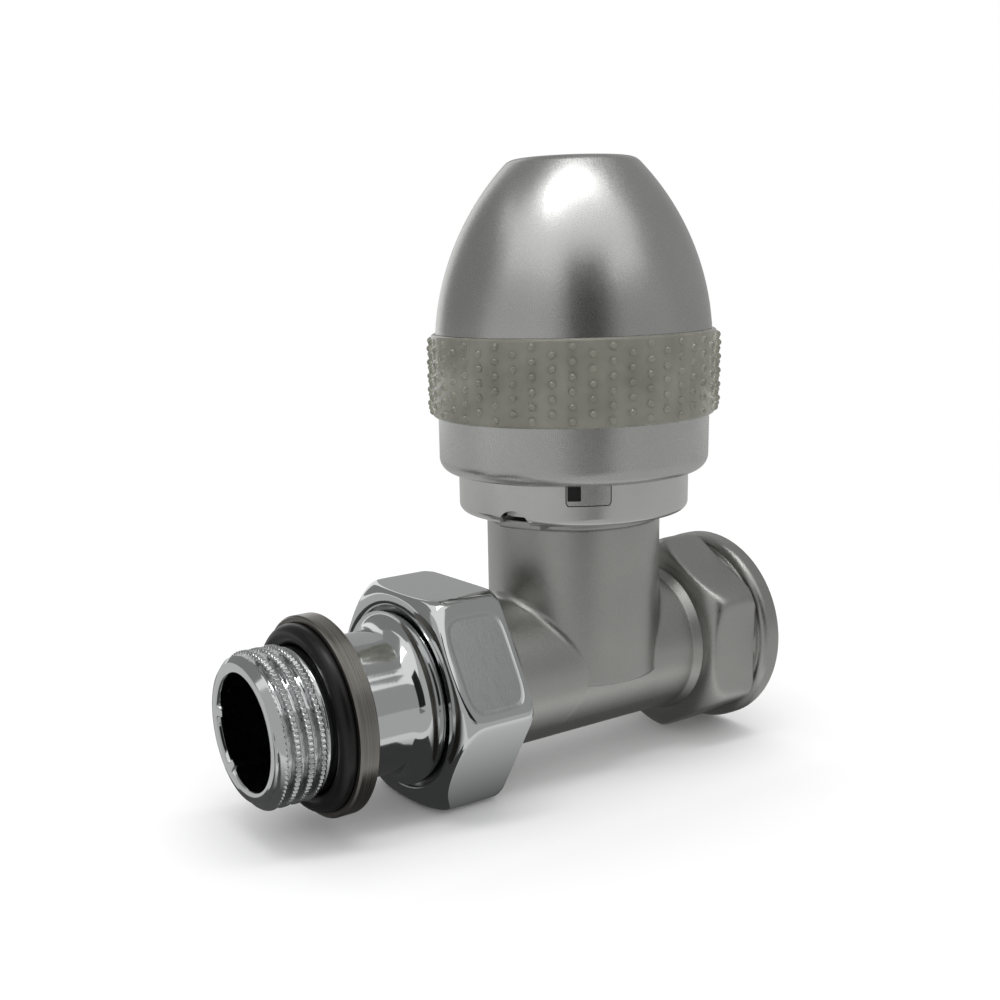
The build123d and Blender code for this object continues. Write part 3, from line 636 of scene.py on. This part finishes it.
def brushed_metal(name, dark, light):
    """Turned nickel: strong fine marks round the pipe axis that also stripe its tone."""
    material, nodes, links, shader, place = new_material(name, light, 1.0, 0.3)
    marks = place_group(nodes, links, LATHE, place, Lines=11000.0, Drift=90.0)
    tint(nodes, links, shader, range_node(nodes, links, marks.outputs["Marks"], 0.3, 0.7, 0, 1), dark, light)
    rough = range_node(nodes, links, marks.outputs["Marks"], 0.3, 0.7, 0.22, 0.42)
    links.new(rough, shader.inputs["Roughness"])
    add_bump(nodes, links, shader, marks.outputs["Marks"], 0.00001)
    return material


def nut_metal():
    """Polished chrome with a worn panel, dull and scratched along the pipe, inside a bright rim of one flat.

    U is the distance along the pipe from the panel's middle and V the distance across the flat. The
    panel shows only where a place lies as far out toward the flat as the flat itself.
    """
    material, nodes, links, shader, place = new_material("nut chrome", CHROME, 1.0, 0.07)
    apart = nodes.new("ShaderNodeSeparateXYZ")
    links.new(place, apart.inputs[0])
    x, y, z = apart.outputs
    v = reach_toward(nodes, links, y, z, WORN_FLAT + 90)
    outward = reach_toward(nodes, links, y, z, WORN_FLAT)
    u = math_node(nodes, links, "SUBTRACT", x, STEM_X + (NUT_FRONT + NUT_REAR) / 2 + PANEL_ALONG)
    halves = {"Half_U": PANEL_HALF_LENGTH, "Half_V": PANEL_HALF_HEIGHT}
    panel = place_group(nodes, links, PANEL, place, Soft=0.10, **halves)
    links.new(u, panel.inputs["U"])
    links.new(math_node(nodes, links, "SUBTRACT", v, PANEL_UP), panel.inputs["V"])
    near = range_node(nodes, links, outward, PANEL_FROM, PANEL_TO, 0, 1)
    mask = math_node(nodes, links, "MULTIPLY", panel.outputs["Mask"], near)
    scratch_place = nodes.new("ShaderNodeMapping")
    scratch_place.inputs["Scale"].default_value = (1.0, 0.04, 0.04)
    links.new(place, scratch_place.inputs["Vector"])
    scratches = noise_node(nodes, links, scratch_place.outputs[0], 9000.0, 4.0)
    clouds = place_group(nodes, links, GRAIN, place, Clouds=350.0)
    rough = range_node(nodes, links, scratches, 0.3, 0.7, 0.24, 0.36)
    polished = range_node(nodes, links, clouds.outputs["Cloud"], 0.3, 0.7, 0.05, 0.09)
    blend = nodes.new("ShaderNodeMix")
    links.new(mask, blend.inputs["Factor"])
    links.new(polished, blend.inputs["A"])
    links.new(rough, blend.inputs["B"])
    links.new(blend.outputs["Result"], shader.inputs["Roughness"])
    tint(nodes, links, shader, mask, CHROME, WORN_CHROME)
    scratched = math_node(nodes, links, "MULTIPLY", scratches, 0.12)
    sunk = math_node(nodes, links, "SUBTRACT", scratched, 1.0)
    add_bump(nodes, links, shader, math_node(nodes, links, "MULTIPLY", sunk, mask), 0.00008)
    return material


def soft_rubber(name, dark, light, roughness, see_through=0.0, bend=1.42):
    """Rubber or silicone with a faint skin texture; see_through is its transmission and bend its IOR."""
    material, nodes, links, shader, place = new_material(name, light, 0.0, roughness)
    grain = place_group(nodes, links, GRAIN, place, Grains=5000.0, Clouds=150.0)
    tint(nodes, links, shader, range_node(nodes, links, grain.outputs["Cloud"], 0.3, 0.7, 0, 1), dark, light)
    shader.inputs["Transmission Weight"].default_value = see_through
    shader.inputs["IOR"].default_value = bend
    add_bump(nodes, links, shader, grain.outputs["Height"], 0.000008)
    return material


MATERIALS = {
    "satin_chrome": satin_metal(
        "body satin chrome", (0.40, 0.40, 0.385), (0.46, 0.46, 0.44), 0.27, 0.36, 0.000018, casting=True
    ),
    "satin_silver": satin_metal(
        "silver satin plating", (0.50, 0.505, 0.49), (0.56, 0.565, 0.55), 0.25, 0.33, 0.00001
    ),
    "polished_chrome": polished_metal("tail chrome", CHROME, 0.06),
    "brushed_nickel": brushed_metal("turned nickel", (0.185, 0.177, 0.16), (0.29, 0.277, 0.253)),
    "black_rubber": soft_rubber("black ring rubber", (0.002, 0.002, 0.002), (0.005, 0.005, 0.005), 0.34),
    "clear_rubber": soft_rubber("cloudy grip rubber", (0.31, 0.31, 0.265), (0.45, 0.45, 0.39), 0.12, 0.6),
    "white_packing": soft_rubber("white packing", (0.78, 0.78, 0.76), (0.86, 0.86, 0.84), 0.5),
    "brass": polished_metal("turned brass", (0.72, 0.55, 0.28), 0.2),
    "spring_steel": polished_metal("spring steel", (0.45, 0.45, 0.46), 0.25),
}
NUT_METAL = nut_metal()
PIMPLE_RUBBER = soft_rubber("clear pimple rubber", (0.60, 0.60, 0.53), (0.80, 0.80, 0.72), 0.05, 0.88, 1.56)
COLLAR_METAL = satin_metal(
    "collar satin plating", (0.58, 0.585, 0.565), (0.64, 0.645, 0.62), 0.20, 0.27, 0.000004
)

# Nodes that wear another metal than their slot's
NODE_METALS = {"cover_collar": COLLAR_METAL, "bonnet": MATERIALS["satin_chrome"]}


def dress(piece, slot, material=None):
    """Gives a piece the material of this slot in the record, or this one where it is given."""
    piece.data.materials.clear()
    piece.data.materials.append(material or MATERIALS[slot])
    return piece


def dress_cad_nodes():
    """Each CAD node takes the material of its slot in the record."""
    slots = {row["node"]: row["material_slot"] for row in frame["record"]["subparts"]}
    for node, piece in frame["nodes"].items():
        piece.data.materials.clear()
        piece.data.materials.append(NODE_METALS.get(node, MATERIALS[slots[node]]))


def add_pieces():
    """The detailed tailpiece, nut, port hexagon, grip band and pimples, and the bare label."""
    tail = dress(make_tailpiece(), "polished_chrome")
    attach(tail, "tail")
    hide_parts("tailpiece")
    nut = dress(make_union_nut(), "polished_chrome", NUT_METAL)
    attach(nut, "nut")
    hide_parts("union_nut")
    hexagon = dress(make_port_hexagon(), "satin_chrome")
    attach(hexagon, "body")
    band = dress(make_grip_band(), "clear_rubber")
    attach(band, "handwheel")
    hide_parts("grip_band")
    pimples = dress(make_pimples(), "clear_rubber", PIMPLE_RUBBER)
    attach(pimples, "handwheel")
    border = make_patch(
        "label_border", LABEL_WIDTH, LABEL_LOW, LABEL_HIGH, COLLAR_RADIUS + BORDER_LIFT, LABEL_CORNER
    )
    face = make_patch(
        "label_face", LABEL_WIDTH - 2 * LABEL_BORDER, LABEL_LOW + LABEL_BORDER, LABEL_HIGH,
        COLLAR_RADIUS + FACE_LIFT, LABEL_CORNER - LABEL_BORDER,
    )
    block = make_patch(
        "label_block", BLOCK_WIDTH, LABEL_LOW + BLOCK_RISE, LABEL_HIGH, COLLAR_RADIUS + BLOCK_LIFT,
        BLOCK_CORNER, BLOCK_SHIFT,
    )
    for piece, slot in ((border, "black_rubber"), (face, "satin_silver"), (block, "black_rubber")):
        dress(piece, slot)
        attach(piece, "body")


# Stage

def make_floor():
    """A white floor that keeps the part's shadow and fades into the white background with distance."""
    reach, drop = 1.5, 0.00002
    corners = np.array([(-reach, -reach, 0), (reach, -reach, 0), (reach, reach, 0), (-reach, reach, 0)])
    floor = build_mesh("studio_floor", corners + (STEM_X, 0, FLOOR_Z - drop), [(0, 1, 2, 3)])
    material, nodes, links, shader, place = new_material("floor white", (0.93, 0.93, 0.93), 0.0, 0.9)
    away = nodes.new("ShaderNodeVectorMath")
    away.operation = "DISTANCE"
    away.inputs[1].default_value = (STEM_X, 0, FLOOR_Z)
    links.new(place, away.inputs[0])
    fade = range_node(nodes, links, away.outputs["Value"], 0.08, 0.30, 0, 1)
    white = nodes.new("ShaderNodeEmission")
    mix = nodes.new("ShaderNodeMixShader")
    links.new(fade, mix.inputs[0])
    links.new(shader.outputs[0], mix.inputs[1])
    links.new(white.outputs[0], mix.inputs[2])
    links.new(mix.outputs[0], nodes["Material Output"].inputs["Surface"])
    floor.data.materials.append(material)


def toward(azimuth, elevation):
    """The direction from the part at this azimuth, counted to the camera's right from the camera's own."""
    flat = CAMERA_PLACE - PART_MIDDLE
    turn = np.arctan2(flat.y, flat.x) + np.radians(azimuth)
    rise = np.radians(elevation)
    return Vector((np.cos(turn) * np.cos(rise), np.sin(turn) * np.cos(rise), np.sin(rise)))


def make_card(name, azimuth, elevation, half_width, half_height, tone, away=0.45, middle=PART_MIDDLE):
    """A card that only reflections show, in this direction from a middle and so far away from it.

    Its half sizes are the degrees that they take up as seen from the middle.
    """
    facing = toward(azimuth, elevation)
    wide, high = away * np.tan(np.radians(half_width)), away * np.tan(np.radians(half_height))
    corners = np.array([(-wide, -high, 0), (wide, -high, 0), (wide, high, 0), (-wide, high, 0)])
    turn = np.array(facing.to_track_quat("Z", "Y").to_matrix())
    card = build_mesh(name, corners @ turn.T + np.array(middle + facing * away), [(0, 1, 2, 3)])
    show_only_in_gloss(card, tone)


def show_only_in_gloss(card, tone, ramp=None):
    """Gives a stage card its tone and hides it from all but reflections.

    A ramp is two Y places in millimetres and the tones at them, for a card that shades from one to the other,
    as the painted shadow under the part does.
    """
    material = bpy.data.materials.new(card.name + "_tone")
    material.use_nodes = True
    nodes, links = material.node_tree.nodes, material.node_tree.links
    glow = nodes.new("ShaderNodeEmission")
    glow.inputs["Color"].default_value = (tone, tone, tone, 1)
    if ramp:
        apart = nodes.new("ShaderNodeSeparateXYZ")
        links.new(nodes.new("ShaderNodeTexCoord").outputs["Object"], apart.inputs[0])
        shade = range_node(nodes, links, apart.outputs[1], ramp[0] * MM, ramp[1] * MM, ramp[2], ramp[3])
        links.new(shade, glow.inputs["Color"])
    links.new(glow.outputs[0], nodes["Material Output"].inputs["Surface"])
    card.data.materials.append(material)
    card.visible_camera = False
    card.visible_shadow = False
    card.visible_diffuse = False
    card.visible_transmission = False


def make_ground_card(name, low, high, tone, lift, ramp=None):
    """A level card just over the floor, from low to high in millimetres, for undersides and upright walls."""
    (x_low, y_low), (x_high, y_high) = low, high
    corners = np.array([(x_low, y_low, 0), (x_high, y_low, 0), (x_high, y_high, 0), (x_low, y_high, 0)])
    card = build_mesh(name, corners * MM + (0, 0, FLOOR_Z + lift), [(0, 1, 2, 3)])
    show_only_in_gloss(card, tone, ramp)


def make_lamp(name, azimuth, elevation, away, size, watts):
    """A soft lamp, wide by high, in this direction that faces the part."""
    light = bpy.data.lights.new(name, "AREA")
    light.shape = "RECTANGLE"
    light.size, light.size_y = size
    light.energy = watts
    lamp = bpy.data.objects.new(name, light)
    facing = toward(azimuth, elevation)
    place = Matrix.Translation(PART_MIDDLE + facing * away)
    lamp.matrix_world = place @ facing.to_track_quat("Z", "Y").to_matrix().to_4x4()
    bpy.context.scene.collection.objects.link(lamp)


def make_world():
    """An even white all round, as background and as light, which metal and rubber show too."""
    world = bpy.data.worlds.new("studio")
    world.use_nodes = True
    bpy.context.scene.world = world
    background = world.node_tree.nodes["Background"]
    background.inputs["Color"].default_value = (1, 1, 1, 1)
    background.inputs["Strength"].default_value = 1.0


def make_camera():
    """The camera of the photograph, with its lens and shift worked out from pixels."""
    data = bpy.data.cameras.new("camera")
    data.sensor_width = SENSOR_WIDTH
    data.lens = FOCAL_PIXELS * SENSOR_WIDTH / PICTURE_PIXELS
    data.shift_x = 0.5 - CENTRE_X_PIXELS / PICTURE_PIXELS
    data.shift_y = CENTRE_Y_PIXELS / PICTURE_PIXELS - 0.5
    data.clip_start = 0.01
    camera = bpy.data.objects.new("camera", data)
    right = CAMERA_RIGHT.normalized()
    back = right.cross(CAMERA_UP).normalized()
    up = back.cross(right)
    turn = Matrix((right, up, back)).transposed()
    camera.matrix_world = Matrix.Translation(CAMERA_PLACE) @ turn.to_4x4()
    bpy.context.scene.collection.objects.link(camera)
    bpy.context.scene.camera = camera


def light_the_stage():
    """A small key lamp above, and grey and black cards for the metal to reflect; two ground cards carry the
    part's shadow on the floor as painted shade.
    """
    make_lamp("key", 22, 80, 0.50, (0.46, 0.09), 0.68)
    make_ground_card("card_ground", (-440, -420), (380, 420), 0.52, 0.0002)
    # Painted shadow for reflections: this card's tone ramps from dark under the part to light towards the
    # camera, standing in for the part's shadow on the floor.
    make_ground_card("card_ground_painted_shadow", (-135, -26), (4, 24), 0.22, 0.0003, (-8, -21, 0.09, 0.80))
    # Painted shadow: a near-black card under the nut stands in for the shaded floor beneath it, as the nut's
    # underside reflects it.
    make_ground_card("card_ground_nut_shadow", (-74, -20), (-57, 10), 0.05, 0.0004)
    make_ground_card("card_ground_left", (-140, 22), (-88, 100), 0.05, 0.0005)
    make_ground_card("card_ground_camera", (-125, -400), (-70, -95), 0.22, 0.0004)
    make_card("card_camera", 13, 14, 18, 30, 0.02)
    make_card("card_front_left", -40, 8, 35, 26, 0.52)
    make_card("card_left", -108, 22, 32, 24, 0.26)
    make_card("card_front_right", 60, 6, 32, 26, 0.38)
    make_card("card_nut_side", 82, 36, 8, 9, 0.34)
    make_card("card_right", 122, 16, 32, 42, 0.34)
    make_card("card_back", 172, 10, 24, 40, 0.42)
    make_card("card_mouth", -101, -13, 33, 33, 0.62, 20 * MM, Vector((STEM_X + TAIL_END, 0, 0)))
    make_card("card_top", 180, 72, 40, 24, 0.30)


dress_cad_nodes()
add_pieces()
make_floor()
make_world()
make_camera()
light_the_stage()
bpy.context.scene.view_settings.view_transform = "Standard"
